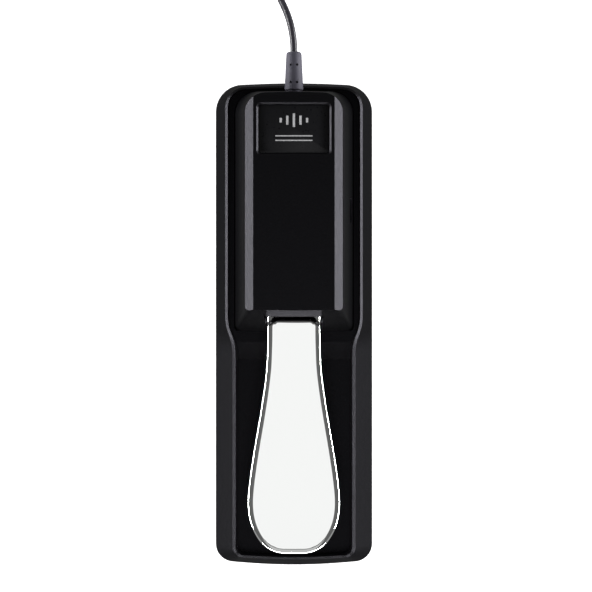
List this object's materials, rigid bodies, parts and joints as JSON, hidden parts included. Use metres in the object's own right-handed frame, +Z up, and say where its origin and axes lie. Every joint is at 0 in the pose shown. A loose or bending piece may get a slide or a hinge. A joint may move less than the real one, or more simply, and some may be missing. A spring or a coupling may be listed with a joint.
{
  "type": "sustain pedal",
  "caption": "Piano-style sustain foot pedal: chromed treadle hinged in a black housing on a low tray base, with coiled cable and jack plug.",
  "frame": {"origin": "middle of the base's footprint, on the surface that the pedal stands on", "axes": "+X to the player's right, +Y from the player towards the cable end, +Z up"},
  "size_m": [0.1328, 0.3666, 0.054],
  "materials": {
    "shell_plastic": "fine moulded grain, semi-matte black",
    "cover_plastic": "fine moulded grain, satin black",
    "sole_rubber": "matte, finely ribbed",
    "plate_steel": "zinc plated",
    "chrome_plate": "polished chrome",
    "emblem_print": "printed satin film",
    "bracket_steel": "zinc plated",
    "pin_steel": "ground",
    "bush_nylon": "natural nylon",
    "spring_steel": "drawn wire",
    "stop_rubber": "matte",
    "board_laminate": "solder mask",
    "switch_moulding": "satin",
    "plunger_moulding": "satin",
    "contact_tin": "tinned",
    "screw_zinc": "zinc plated",
    "relief_rubber": "satin moulded",
    "cable_rubber": "satin extruded",
    "clamp_nylon": "satin",
    "wire_red": "insulated wire",
    "wire_black": "insulated wire",
    "wire_white": "insulated wire",
    "tie_fabric": "woven hook and loop strap",
    "plug_moulding": "satin moulded",
    "plug_nickel": "nickel plated",
    "ring_plastic": "gloss"
  },
  "bodies": {
    "case": {"rubber_sole": "sole_rubber", "bottom_plate": "plate_steel", "base_shell": "shell_plastic", "housing_cover": "cover_plastic", "emblem_plate": "emblem_print", "pivot_bracket": "bracket_steel", "pivot_pin": "pin_steel", "pin_clip": "spring_steel", "bracket_screws": "screw_zinc", "spring_seat": "clamp_nylon", "return_spring": "spring_steel", "upper_stop_pad": "stop_rubber", "lower_stop_pad": "stop_rubber", "stop_post": "bracket_steel", "circuit_board": "board_laminate", "board_pillars": "clamp_nylon", "board_screws": "screw_zinc", "microswitch_body": "switch_moulding", "polarity_switch_body": "switch_moulding", "polarity_switch_pins": "contact_tin", "cover_screws": "screw_zinc", "base_screws": "screw_zinc", "strain_relief": "relief_rubber", "cable_clamp_post": "clamp_nylon", "cable_clamp": "clamp_nylon", "clamp_screws": "screw_zinc", "inner_cord": "cable_rubber", "core_wire_red": "wire_red", "core_wire_black": "wire_black", "core_wire_white": "wire_white", "switch_leads": "wire_red", "cord_lead": "cable_rubber", "cord_tail": "cable_rubber", "cord_coil": "cable_rubber", "cord_tie": "tie_fabric", "plug_guard": "plug_moulding", "plug_grip": "plug_moulding", "plug_sleeve": "plug_nickel", "plug_insulator": "ring_plastic", "plug_tip": "plug_nickel"},
    "treadle": {"pedal_treadle": "chrome_plate", "pivot_bush_left": "bush_nylon", "pivot_bush_right": "bush_nylon", "spring_cup": "bush_nylon"},
    "plunger": {"microswitch_plunger": "plunger_moulding"},
    "knob": {"polarity_switch_knob": "switch_moulding"}
  },
  "joints": [
    {"name": "pedal_press", "type": "hinge", "parent": "case", "child": "treadle", "pos_m": [0, 0.07, 0.0345], "axis": [1, 0, 0], "range_deg": [0, 5.2], "stiffness_Nm_per_rad": 8, "springref_deg": -6.88, "deforming": ["return_spring"]},
    {"name": "switch_press", "type": "slide", "parent": "case", "child": "plunger", "axis": [0, 0, -1], "range_m": [0, 0.0018]},
    {"name": "polarity_slide", "type": "slide", "parent": "case", "child": "knob", "axis": [0, 1, 0], "range_m": [0, 0.004]}
  ],
  "couplings": [
    {"joint": "switch_press", "follows": "pedal_press", "m_per_rad": 0.019}
  ]
}
